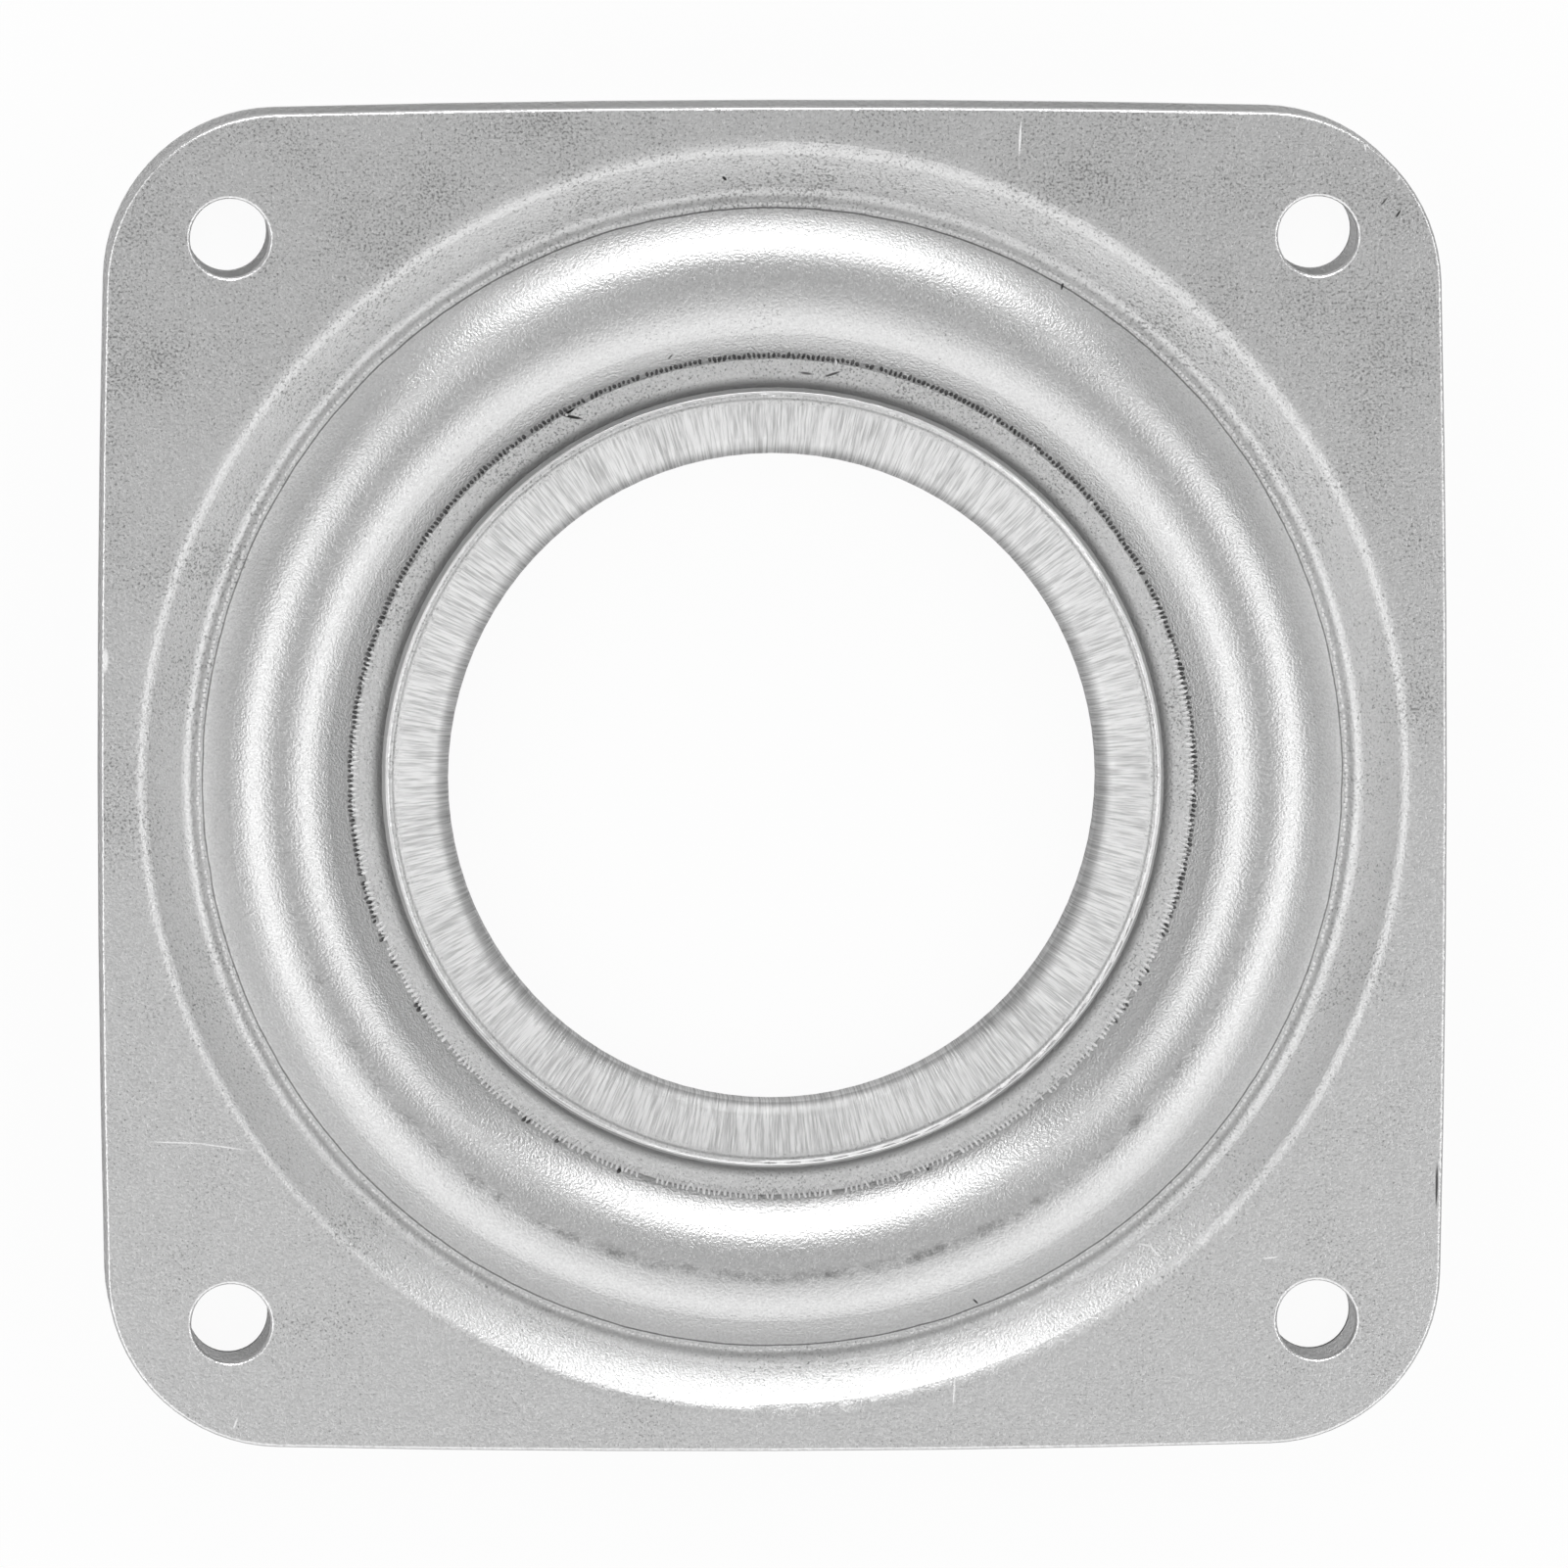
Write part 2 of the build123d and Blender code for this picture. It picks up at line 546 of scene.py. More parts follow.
    def mottle_grain(self, coat: Coat) -> None:
        """Lighten and darken the zinc grain by grain.

        Args:
            coat: The finish so far.
        """
        low, high = 0.3, 0.7
        mottled = add_node(coat.tree, MAP_RANGE, {
            "Value": coat.grain, "From Min": low, "From Max": high,
            "To Min": 1 - self.mottle, "To Max": 1 + self.mottle / 2})[0]
        coat.colour = add_node(coat.tree, VECTOR_MATH, {
            0: coat.colour, "Scale": mottled}, operation="SCALE")[0]

    def finish_upper(self, coat: Coat) -> None:
        """Lay what only the upper plate has: scratches, the ledge along the lip and the plate's margins.

        Args:
            coat: The finish so far.
        """
        self.scratch(coat)
        self.dull_ledge(coat)
        facing_down = add_node(coat.tree, MAP_RANGE, {
            "Value": coat.tilt, "From Min": 0.0, "From Max": -self.clear_tilt})[0]
        margin = coat.pressing.rim_radius + coat.pressing.sheet / 2
        self.work_edges(coat, margin, facing_down, linear(self.sheared))

    def finish_lower(self, coat: Coat) -> None:
        """Lay what only the lower plate has: the drawn neck, its lip and the inner face outside the lip, with
        painted shade above the throat, on the lip's inner bend and on the lip's end face.

        Args:
            coat: The finish so far.
        """
        tree = coat.tree
        self.draw_neck(coat)
        self.shade_throat(coat)
        lip = coat.pressing.lip_radius
        # Painted shade: a thin dark ring on the lip's inner bend, just inside its edge.
        coat.cover(self.lip_bend_shade.mask(tree, coat.radius, lip), linear(self.shade_line))
        outside = add_node(tree, MAP_RANGE, {
            "Value": coat.radius, "From Min": lip, "From Max": lip + self.lip_fade})
        facing_up = add_node(tree, MAP_RANGE, {
            "Value": coat.tilt, "From Min": 0.0, "From Max": self.clear_tilt})
        inner = add_node(tree, MATH, {0: outside[0], 1: facing_up[0]}, operation="MULTIPLY")[0]
        on_rim = add_node(tree, MATH, {
            0: coat.radius, 1: coat.pressing.rim_radius}, operation="GREATER_THAN")[0]
        # Painted shade: the lip's end face is dark grey, while the plate's outer edges show bare steel.
        cut_colour = add_node(tree, MIX, {
            0: on_rim, 6: linear(self.lip_end_shade), 7: linear(self.sheared)}, data_type="RGBA")[2]
        self.work_edges(coat, lip - self.lip_end_width, inner, cut_colour)

    def scratch(self, coat: Coat) -> None:
        """Draw the scratches, which are pale where fresh zinc shows and dark where grime has got in.

        Args:
            coat: The finish so far.
        """
        for scratch in self.scratches:
            along = add_node(coat.tree, "ShaderNodeMapping", {
                "Vector": coat.spot,
                "Location": (scratch.right * MM, scratch.up * MM, coat.pressing.height),
                "Rotation": (0, 0, math.radians(scratch.angle)),
                "Scale": (scratch.length / 2 * MM, scratch.width * MM, 1)}, vector_type="TEXTURE")[0]
            spindle = add_node(
                coat.tree, "ShaderNodeTexGradient", {"Vector": along}, gradient_type="SPHERICAL")["Fac"]
            share = add_node(coat.tree, MATH, {
                0: spindle, 1: self.scratch_edge * scratch.depth}, operation="MULTIPLY", use_clamp=True)[0]
            coat.cover(share, linear(scratch.tone), self.scratch_roughness)

    def dull_ledge(self, coat: Coat) -> None:
        """Dull the flange inside the arch, and paint shadow on the strip along the lip.

        Args:
            coat: The finish so far.
        """
        on_ledge = add_node(coat.tree, MATH, {
            0: coat.radius, 1: coat.pressing.inner_crease - self.ledge_inset}, operation="LESS_THAN")[0]
        coat.cover(on_ledge, gloss=self.ledge_roughness)
        # Painted shadow: the ledge darkens towards the lip, which shades it.
        strip = coat.pressing.lip_radius + self.lip_shadow_width
        lip_shadow = add_node(coat.tree, MAP_RANGE, {
            "Value": coat.radius, "From Min": strip + self.lip_shadow_fade, "From Max": strip})[0]
        coat.cover(lip_shadow, linear(self.shadow_grey))

    def draw_neck(self, coat: Coat) -> None:
        """Streak the neck's bore along the way in which it was drawn.

        Args:
            coat: The finish so far.
        """
        tree = coat.tree
        around = add_node(tree, VECTOR_MATH, {0: coat.level}, operation="NORMALIZE")[0]
        ring = add_node(tree, VECTOR_MATH, {
            0: around, "Scale": coat.pressing.lip_radius}, operation="SCALE")[0]
        drawn = add_node(tree, MATH, {0: coat.radius, 1: self.streak_stretch}, operation="MULTIPLY")[0]
        depth = add_node(tree, "ShaderNodeCombineXYZ", {2: drawn})[0]
        path = add_node(tree, VECTOR_MATH, {0: ring, 1: depth})[0]
        streaks, bands = [
            add_node(tree, NOISE, {
                "Vector": path, "Scale": 1 / width, "Detail": 2.0, "Roughness": 0.6})["Fac"]
            for width in (self.streak_width, self.tone_width)]
        light, tone = [
            add_node(tree, MAP_RANGE, {
                "Value": noise, "From Min": low, "From Max": high, "To Min": dark, "To Max": pale})[0]
            for noise, low, high, dark, pale in (
                (streaks, 0.34, 0.66, 0.74, 1.26), (bands, 0.3, 0.7, 0.88, 1.04))]
        both = add_node(tree, MATH, {0: light, 1: tone}, operation="MULTIPLY")[0]
        streaked = add_node(tree, VECTOR_MATH, {
            0: linear(self.zinc)[:3], "Scale": both}, operation="SCALE")[0]

        streaks_end = coat.pressing.lip_radius - self.smooth_rim
        on_neck = add_node(tree, MAP_RANGE, {
            "Value": coat.radius, "From Min": streaks_end, "From Max": streaks_end - self.streak_fade})[0]
        coat.cover(on_neck, streaked, self.neck_roughness)
        coat.grain = add_node(tree, MIX, {0: on_neck, 2: coat.grain, 3: streaks})[0]

    def shade_throat(self, coat: Coat) -> None:
        """Paint shade on a ring just above the throat's bend, where the neck steepens, most of all towards
        -Y.

        Args:
            coat: The finish so far.
        """
        tree = coat.tree
        # Painted shade: a dark ring where the neck steepens into the throat, strongest towards -Y.
        starts, full, fades, ends = [coat.pressing.throat_radius + step for step in self.throat_ring]
        after, before = [
            add_node(tree, MAP_RANGE, {"Value": coat.radius, "From Min": clear, "From Max": dark})[0]
            for clear, dark in ((starts, full), (ends, fades))]
        ring = add_node(tree, MATH, {0: after, 1: before}, operation="MULTIPLY")[0]
        up = add_node(tree, "ShaderNodeSeparateXYZ", {0: coat.level})["Y"]
        strongest, weakest = 0.5, 0.12
        throat_shade = add_node(tree, MAP_RANGE, {
            "Value": up, "From Min": -coat.pressing.throat_radius, "From Max": 0.0,
            "To Min": strongest, "To Max": weakest})[0]
        share = add_node(tree, MATH, {0: ring, 1: throat_shade}, operation="MULTIPLY")[0]
        coat.cover(share, linear(self.shade_line))

    def work_edges(self, coat: Coat, margin: float, inner: Socket, cut_colour: Socket | Colour) -> None:
        """Dull the inner faces and darken them with painted shade, burnish the rolled-over edges and bare the
        steel of the sheared ones, except the lip's end face, which gets painted shade.

        Args:
            coat: The finish so far.
            margin: Radius outside which the plate's edges lie.
            inner: Mask of the face towards the other plate.
            cut_colour: Colour of the sheared edges, painted shade on the lip's end face.
        """
        tree = coat.tree
        edge = add_node(tree, MATH, {0: coat.radius, 1: margin}, operation="GREATER_THAN")[0]
        flat = add_node(tree, MATH, {0: coat.tilt}, operation="ABSOLUTE")[0]
        level, bent = 0.995, 0.95
        rolled = add_node(tree, MAP_RANGE, {
            "Value": flat, "From Min": level, "From Max": bent, "To Max": edge})[0]
        steep, upright = 0.35, 0.15
        cut = add_node(tree, MAP_RANGE, {
            "Value": flat, "From Min": steep, "From Max": upright, "To Max": edge})[0]
        # Painted shade: the faces between the plates take a darker tone, as well as a rougher finish.
        coat.cover(inner, linear(self.inner_face_shade), self.sheared_roughness)
        coat.cover(rolled, linear(self.burnished), self.burnished_roughness)
        coat.cover(cut, cut_colour, self.sheared_roughness)


class GrownPiece(ABC):
    """A piece that a Geometry Nodes tree makes and that is then kept as a plain mesh."""

    name: str
    body: str
    slot: str

    @abstractmethod
    def sizes(self) -> dict[str, float | int]:
        """Give the tree's inputs, by name."""

    @abstractmethod
    def grow(self, tree: Tree, inputs: Sockets) -> Socket:
        """Fill the tree.

        Args:
            tree: The tree, which holds only its input and output nodes.
            inputs: The tree's inputs, by name.

        Returns:
            The finished geometry.
        """

    def build(self, material: bpy.types.Material) -> bpy.types.Object:
        """Grow the piece and turn it into a plain mesh that rides on its body.

        Args:
            material: Finish of the whole piece.

        Returns:
            The piece.
        """
        tree = bpy.data.node_groups.new(self.name, "GeometryNodeTree")
        tree.interface.new_socket("Geometry", in_out="OUTPUT", socket_type="NodeSocketGeometry")
        identifiers = {}
        for label, value in self.sizes().items():
            kind = "NodeSocketInt" if isinstance(value, int) else "NodeSocketFloat"
            entry = tree.interface.new_socket(label, in_out="INPUT", socket_type=kind)
            identifiers[label] = entry.identifier
        inputs = add_node(tree, "NodeGroupInput")
        grown = self.grow(tree, {label: inputs[label] for label in identifiers})
        plain = add_node(tree, "GeometryNodeRealizeInstances", {"Geometry": grown})[0]
        smooth = add_node(tree, "GeometryNodeSetShadeSmooth", {"Geometry": plain, "Shade Smooth": True})[0]
        dressed = add_node(tree, "GeometryNodeSetMaterial", {"Geometry": smooth, "Material": material})[0]
        add_node(tree, "NodeGroupOutput", {"Geometry": dressed})

        piece = new_object(self.name, bpy.data.meshes.new(f"{self.name}_seed"))
        modifier = piece.modifiers.new(self.name, "NODES")
        modifier.node_group = tree
        for label, value in self.sizes().items():
            modifier[identifiers[label]] = value
        evaluated = piece.evaluated_get(bpy.context.evaluated_depsgraph_get())
        mesh = bpy.data.meshes.new_from_object(evaluated)
        mesh.name = self.name
        piece.modifiers.clear()
        piece.data = mesh
        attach(piece, self.body)
        LOG.info("%s grown, %d faces", self.name, len(mesh.polygons))
        return piece


class ChipShape(Enum):
    """Form of one die mark."""

    FLAKE = "flake"
    BEAD = "bead"


class Strewn(Enum):
    """Where around the axis a ring of die marks is densest, towards +Y or -Y."""

    BACK = -1.0
    FRONT = 1.0
    EVERYWHERE = 0.0


@dataclass(frozen=True)
class DieMarks(GrownPiece):
    """A ring of small chips of zinc along a crease, where the die has marked the sheet.

    The chips lie on a cone about the turning axis. The slope is how steeply that cone rises outwards.
    """

    name: str
    radius: float
    height: float
    slope: float
    chip_length: float
    chip_width: float
    chip_thickness: float
    pitch: float
    kept: float
    jitter: float
    strewn: Strewn = Strewn.EVERYWHERE
    shape: ChipShape = ChipShape.FLAKE
    seed: int = 1
    body: str = "turntable"
    slot: str = "galvanised_steel"
    clump_size: float = 1.6 * MM
    clumping: float = 0.35
    thin_side: float = -1.15
    least_size: tuple[float, float, float] = (0.65, 0.75, 0.8)
    greatest_size: tuple[float, float, float] = (1.2, 1.15, 1.1)
    twist: float = 0.3

    def sizes(self) -> dict[str, float | int]:
        """Give the tree's inputs, by name."""
        return {
            "Count": round(2 * math.pi * self.radius / self.pitch), "Radius": self.radius,
            "Height": self.height, "Slope": self.slope, "Chip Length": self.chip_length,
            "Chip Width": self.chip_width, "Chip Thickness": self.chip_thickness, "Kept": self.kept,
            "Jitter": self.jitter, "Seed": self.seed,
        }

    def grow(self, tree: Tree, inputs: Sockets) -> Socket:
        """Set the chips around the ring, drop some of them and vary the rest.

        Args:
            tree: The tree to fill.
            inputs: The tree's inputs, by name.

        Returns:
            The chips.
        """
        circle = add_node(tree, "GeometryNodeMeshCircle", {
            "Vertices": inputs["Count"], "Radius": inputs["Radius"]})
        points = add_node(tree, "GeometryNodeMeshToPoints", {"Mesh": circle[0]})[0]
        spot = add_node(tree, "GeometryNodeInputPosition")[0]
        outward = add_node(tree, VECTOR_MATH, {0: spot}, operation="NORMALIZE")[0]
        along, turn = self.lie_on_cone(tree, outward, inputs["Slope"])

        dropped = self.dropped(tree, spot, outward, inputs)
        next_seed = add_node(tree, MATH, {0: inputs["Seed"], 1: 1.0}, operation="ADD")[0]
        shift = add_node(tree, "FunctionNodeRandomValue", {
            2: -1.0, 3: 1.0, "Seed": next_seed}, data_type="FLOAT")[1]
        slide = add_node(tree, MATH, {0: shift, 1: inputs["Jitter"]}, operation="MULTIPLY")[0]
        slid = add_node(tree, VECTOR_MATH, {0: along, "Scale": slide}, operation="SCALE")[0]
        lift = add_node(tree, "ShaderNodeCombineXYZ", {2: inputs["Height"]})[0]
        offset = add_node(tree, VECTOR_MATH, {0: slid, 1: lift})[0]
        kept = add_node(tree, "GeometryNodeDeleteGeometry", {
            "Geometry": points, "Selection": dropped}, domain="POINT")[0]

        size_seed = add_node(tree, MATH, {0: inputs["Seed"], 1: 2.0}, operation="ADD")[0]
        size = add_node(tree, "FunctionNodeRandomValue", {
            0: self.least_size, 1: self.greatest_size, "Seed": size_seed}, data_type="FLOAT_VECTOR")[0]
        chip_size = add_node(tree, "ShaderNodeCombineXYZ", {
            0: inputs["Chip Length"], 1: inputs["Chip Width"], 2: inputs["Chip Thickness"]})[0]
        scale = add_node(tree, VECTOR_MATH, {0: size, 1: chip_size}, operation="MULTIPLY")[0]
        twist_seed = add_node(tree, MATH, {0: inputs["Seed"], 1: 3.0}, operation="ADD")[0]
        twist = add_node(tree, "FunctionNodeRandomValue", {
            0: (0.0, 0.0, -self.twist), 1: (0.0, 0.0, self.twist), "Seed": twist_seed},
            data_type="FLOAT_VECTOR")[0]
        turned = add_node(tree, "FunctionNodeRotateRotation", {
            "Rotation": turn, "Rotate By": twist}, rotation_space="LOCAL")[0]
        chips = add_node(tree, "GeometryNodeInstanceOnPoints", {
            "Points": kept, "Instance": self.chip(tree), "Rotation": turned, "Scale": scale})[0]
        return add_node(tree, "GeometryNodeSetPosition", {"Geometry": chips, "Offset": offset})[0]

    def lie_on_cone(self, tree: Tree, outward: Socket, slope: Socket) -> tuple[Socket, Socket]:
        """Work out how a chip lies on the cone.

        Args:
            tree: The tree to fill.
            outward: Level direction away from the turning axis.
            slope: How steeply the cone rises outwards.

        Returns:
            The direction up the cone, and the rotation that lays a chip along it.
        """
        run = add_node(tree, MATH, {0: slope}, operation="COSINE")[0]
        rise = add_node(tree, MATH, {0: slope}, operation="SINE")[0]
        fall = add_node(tree, MATH, {0: rise, 1: -1.0}, operation="MULTIPLY")[0]
        level = add_node(tree, VECTOR_MATH, {0: outward, "Scale": run}, operation="SCALE")[0]
        upright = add_node(tree, "ShaderNodeCombineXYZ", {2: rise})[0]
        along = add_node(tree, VECTOR_MATH, {0: level, 1: upright})[0]
        leant = add_node(tree, VECTOR_MATH, {0: outward, "Scale": fall}, operation="SCALE")[0]
        post = add_node(tree, "ShaderNodeCombineXYZ", {2: run})[0]
        normal = add_node(tree, VECTOR_MATH, {0: leant, 1: post})[0]
        turn = add_node(tree, "FunctionNodeAxesToRotation", {
            "Primary Axis": normal, "Secondary Axis": along}, primary_axis="Z", secondary_axis="X")[0]
        return along, turn

    def dropped(self, tree: Tree, spot: Socket, outward: Socket, inputs: Sockets) -> Socket:
        """Choose the chips to leave out, in clumps and on the side where the ring is thin.

        Args:
            tree: The tree to fill.
            spot: Place of the chip.
            outward: Level direction away from the turning axis.
            inputs: The tree's inputs, by name.

        Returns:
            The choice.
        """
        clump = add_node(tree, NOISE, {"Vector": spot, "Scale": 1 / self.clump_size, "Detail": 1.0})["Fac"]
        side = add_node(tree, "ShaderNodeSeparateXYZ", {0: outward})["Y"]
        towards = add_node(tree, MATH, {0: side, 1: -self.strewn.value}, operation="MULTIPLY")
        thin, full = -0.6, -0.2
        where = add_node(tree, MAP_RANGE, {
            "Value": towards[0], "From Min": thin, "From Max": full, "To Min": self.thin_side,
            "To Max": 0.0})[0]
        share = add_node(tree, MATH, {0: inputs["Kept"], 1: where}, operation="ADD")[0]
        low, high = 0.35, 0.65
        loose = add_node(tree, MAP_RANGE, {
            "Value": clump, "From Min": low, "From Max": high,
            "To Min": -self.clumping, "To Max": self.clumping})[0]
        chance = add_node(tree, MATH, {0: share, 1: loose}, operation="ADD", use_clamp=True)[0]
        draw = add_node(tree, "FunctionNodeRandomValue", {"Seed": inputs["Seed"]}, data_type="FLOAT")[1]
        return add_node(tree, MATH, {0: draw, 1: chance}, operation="GREATER_THAN")[0]

    def chip(self, tree: Tree) -> Socket:
        """Make one chip of about unit size.

        Args:
            tree: The tree to fill.

        Returns:
            The chip: a seven-sided flake sunk into the sheet by a quarter, or a round bead.
        """
        if self.shape is ChipShape.BEAD:
            return add_node(tree, "GeometryNodeMeshIcoSphere", {"Radius": 0.5, "Subdivisions": 2})[0]
        flake = add_node(tree, "GeometryNodeMeshCone", {
            "Vertices": 7, "Radius Top": 0.4, "Radius Bottom": 0.55, "Depth": 1.0})[0]
        return add_node(tree, "GeometryNodeSetPosition", {"Geometry": flake, "Offset": (0, 0, -0.25)})[0]


@dataclass(frozen=True)
class LipBurr(GrownPiece):
    """Thin, slightly ragged burr that shearing has left along the flared lip's upper edge."""

    radius: float
    height: float
    thickness: float = 0.13 * MM
    wander: float = 0.10 * MM
    wave: float = 3.5 * MM
    facets: int = 8
    rings: int = 540
    name: str = "lip_burr"
    body: str = "base"
    slot: str = "galvanised_steel"

    def sizes(self) -> dict[str, float | int]:
        """Give the tree's inputs, by name."""
        return {
            "Radius": self.radius, "Height": self.height, "Thickness": self.thickness,
            "Wander": self.wander, "Wave": self.wave, "Facets": self.facets, "Rings": self.rings,
        }

    def grow(self, tree: Tree, inputs: Sockets) -> Socket:
        """Run a bead of uneven thickness around the lip.

        Args:
            tree: The tree to fill.
            inputs: The tree's inputs, by name.

        Returns:
            The bead.
        """
        circle = add_node(tree, "GeometryNodeCurvePrimitiveCircle", {
            "Resolution": inputs["Rings"], "Radius": inputs["Radius"]})[0]
        spot = add_node(tree, "GeometryNodeInputPosition")[0]
        outward = add_node(tree, VECTOR_MATH, {0: spot}, operation="NORMALIZE")[0]
        per_wave = add_node(tree, MATH, {0: 1.0, 1: inputs["Wave"]}, operation="DIVIDE")[0]
        noise = add_node(tree, NOISE, {"Vector": spot, "Scale": per_wave, "Detail": 3.0})["Fac"]
        centred = add_node(tree, MATH, {0: noise, 1: 0.5}, operation="SUBTRACT")[0]
        sway = add_node(tree, MATH, {0: centred, 1: inputs["Wander"]}, operation="MULTIPLY")[0]
        swayed = add_node(tree, VECTOR_MATH, {0: outward, "Scale": sway}, operation="SCALE")[0]
        lift = add_node(tree, "ShaderNodeCombineXYZ", {2: inputs["Height"]})[0]
        offset = add_node(tree, VECTOR_MATH, {0: swayed, 1: lift})[0]
        placed = add_node(tree, "GeometryNodeSetPosition", {"Geometry": circle, "Offset": offset})[0]
        low, high = 0.3, 0.7
        thin, thick = 0.75, 1.2
        uneven = add_node(tree, MAP_RANGE, {
            "Value": noise, "From Min": low, "From Max": high, "To Min": thin, "To Max": thick})[0]
        half = add_node(tree, MATH, {0: inputs["Thickness"], 1: 0.5}, operation="MULTIPLY")[0]
        profile = add_node(tree, "GeometryNodeCurvePrimitiveCircle", {
            "Resolution": inputs["Facets"], "Radius": half})[0]
        return add_node(tree, "GeometryNodeCurveToMesh", {
            "Curve": placed, "Profile Curve": profile, "Scale": uneven})[0]


@dataclass(frozen=True)
class WornZinc:
    """Zinc that a tool has rubbed or sheared, or dark zinc that stands for shade: one colour for the skin and
    a second that mottles it.
    """

    name: str
    skin: str
    mottle: str
    roughness: float
    mottle_size: float = 0.3 * MM

    def material(self) -> bpy.types.Material:
        """Make the material.

        Returns:
            The material.
        """
        material = new_material(self.name)
        tree = material.node_tree
        spot = add_node(tree, "ShaderNodeTexCoord")["Object"]
        noise = add_node(tree, NOISE, {"Vector": spot, "Scale": 1 / self.mottle_size, "Detail": 3.0})["Fac"]
        faint, full = 0.35, 0.65
        share = add_node(tree, MAP_RANGE, {"Value": noise, "From Min": faint, "From Max": full})[0]
        colour = add_node(tree, MIX, {
            0: share, 6: linear(self.skin), 7: linear(self.mottle)}, data_type="RGBA")[2]
        shader = add_node(tree, "ShaderNodeBsdfPrincipled", {
            "Base Color": colour, "Metallic": 1.0, "Roughness": self.roughness})
        add_node(tree, "ShaderNodeOutputMaterial", {"Surface": shader[0]})
        return material


@dataclass(frozen=True)
class ToolMarks:
    """All marks that pressing and shearing have left standing out of the sheet.

    The dark ticks are painted shade: dark zinc chips stand for dents whose steep sides are shaded. Rubbed
    zinc looks white and matt, and the sheared edge of the lip glints.
    """

    pressing: Pressing
    # Painted shade: dark zinc for the tick chips along the inner crease.
    tick_shade: WornZinc = WornZinc("tick_shade_zinc", skin="#585858", mottle="#808080", roughness=0.6)
    raised: WornZinc = WornZinc("rubbed_zinc", skin="#FFFFFF", mottle="#F0F0F0", roughness=0.7)
    lip_edge: WornZinc = WornZinc("sheared_lip_edge", skin="#FFFFFF", mottle="#F4F4F4", roughness=0.3)
    burr_depth: float = 0.06 * MM

    def build(self) -> None:
        """Make the rings of die marks along both creases and the burr on the lip."""
        sheet = self.pressing
        tick_shade = self.tick_shade.material()
        raised = self.raised.material()
        tick = 0.46 * MM
        foot = tick / 2 * math.cos(sheet.flank_angle)
        rise = foot * math.tan(sheet.flank_angle)
        # Painted shade: the dark ticks stand for dents along the inner crease whose steep sides are shaded.
        DieMarks(
            "inner_die_ticks", radius=sheet.inner_crease + foot, height=sheet.flange_top + rise,
            slope=sheet.flank_angle, chip_length=tick, chip_width=0.22 * MM, chip_thickness=0.07 * MM,
            pitch=0.28 * MM, kept=1.15, jitter=0.05 * MM, strewn=Strewn.BACK, seed=11).build(tick_shade)
        DieMarks(
            "inner_die_nubs", radius=sheet.inner_crease - 0.16 * MM, height=sheet.flange_top, slope=0.0,
            chip_length=0.17 * MM, chip_width=0.15 * MM, chip_thickness=0.09 * MM,
            pitch=0.30 * MM, kept=0.6, jitter=0.08 * MM, shape=ChipShape.BEAD, seed=23).build(raised)
        DieMarks(
            "inner_flank_smears", radius=sheet.inner_crease - 0.08 * MM, height=sheet.flange_top + 0.04 * MM,
            slope=math.radians(18), chip_length=0.72 * MM, chip_width=0.19 * MM, chip_thickness=0.24 * MM,
            pitch=0.30 * MM, kept=1.0, jitter=0.05 * MM, strewn=Strewn.FRONT, shape=ChipShape.BEAD,
            seed=31).build(raised)
        DieMarks(
            "outer_die_nubs", radius=sheet.outer_crease + 0.24 * MM, height=sheet.flange_top, slope=0.0,
            chip_length=0.20 * MM, chip_width=0.24 * MM, chip_thickness=0.16 * MM,
            pitch=0.28 * MM, kept=1.1, jitter=0.05 * MM, shape=ChipShape.BEAD, seed=47).build(raised)
        lip_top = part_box("lower_plate")[1].z
        LipBurr(radius=sheet.lip_radius, height=lip_top - self.burr_depth).build(self.lip_edge.material())


@dataclass(frozen=True)
class PolishedBallSteel:
    """Lapped ball steel: a near mirror with the faintest haze, coarser than real lapping marks would be."""

    steel: str = "#D4D4D2"
    roughness: float = 0.08
    haze_size: float = 0.4 * MM

    def material(self) -> bpy.types.Material:
        """Make the material of the balls.

        Returns:
            The material.
        """
        material = new_material("polished_ball_steel")
        tree = material.node_tree
        spot = add_node(tree, "ShaderNodeTexCoord")["Object"]
        haze = add_node(tree, NOISE, {"Vector": spot, "Scale": 1 / self.haze_size, "Detail": 3.0})["Fac"]
        least, most = 0.6 * self.roughness, 1.6 * self.roughness
        rough = add_node(tree, MAP_RANGE, {"Value": haze, "To Min": least, "To Max": most})[0]
        shader = add_node(tree, "ShaderNodeBsdfPrincipled", {
            "Base Color": linear(self.steel), "Metallic": 1.0, "Roughness": rough})
        add_node(tree, "ShaderNodeOutputMaterial", {"Surface": shader[0]})
        return material


@dataclass(frozen=True)
class SoftBox:
    """One soft studio light: a flat panel that faces the middle of the part.

    Azimuth is counted from +X towards +Y, and zenith from straight up, both in degrees.
    """

    name: str
    azimuth: float
    zenith: float
    width: float
    height: float
    radiance: float
    distance: float = 0.8

    def build(self) -> bpy.types.Object:
        """Make the light, turned so that its width lies level.

        Returns:
            The light.
        """
        azimuth = math.radians(self.azimuth)
        zenith = math.radians(self.zenith)
        away = Vector((
            math.cos(azimuth) * math.sin(zenith), math.sin(azimuth) * math.sin(zenith), math.cos(zenith)))
        light = bpy.data.lights.new(self.name, "AREA")
        light.shape = "RECTANGLE"
        light.size = self.width
        light.size_y = self.height
        light.energy = self.radiance * math.pi * self.width * self.height
        box = new_object(self.name, light)
        box.location = away * self.distance
        box.rotation_euler = facing(away, Vector((0, 0, 1)))
        box.visible_camera = False
        return box


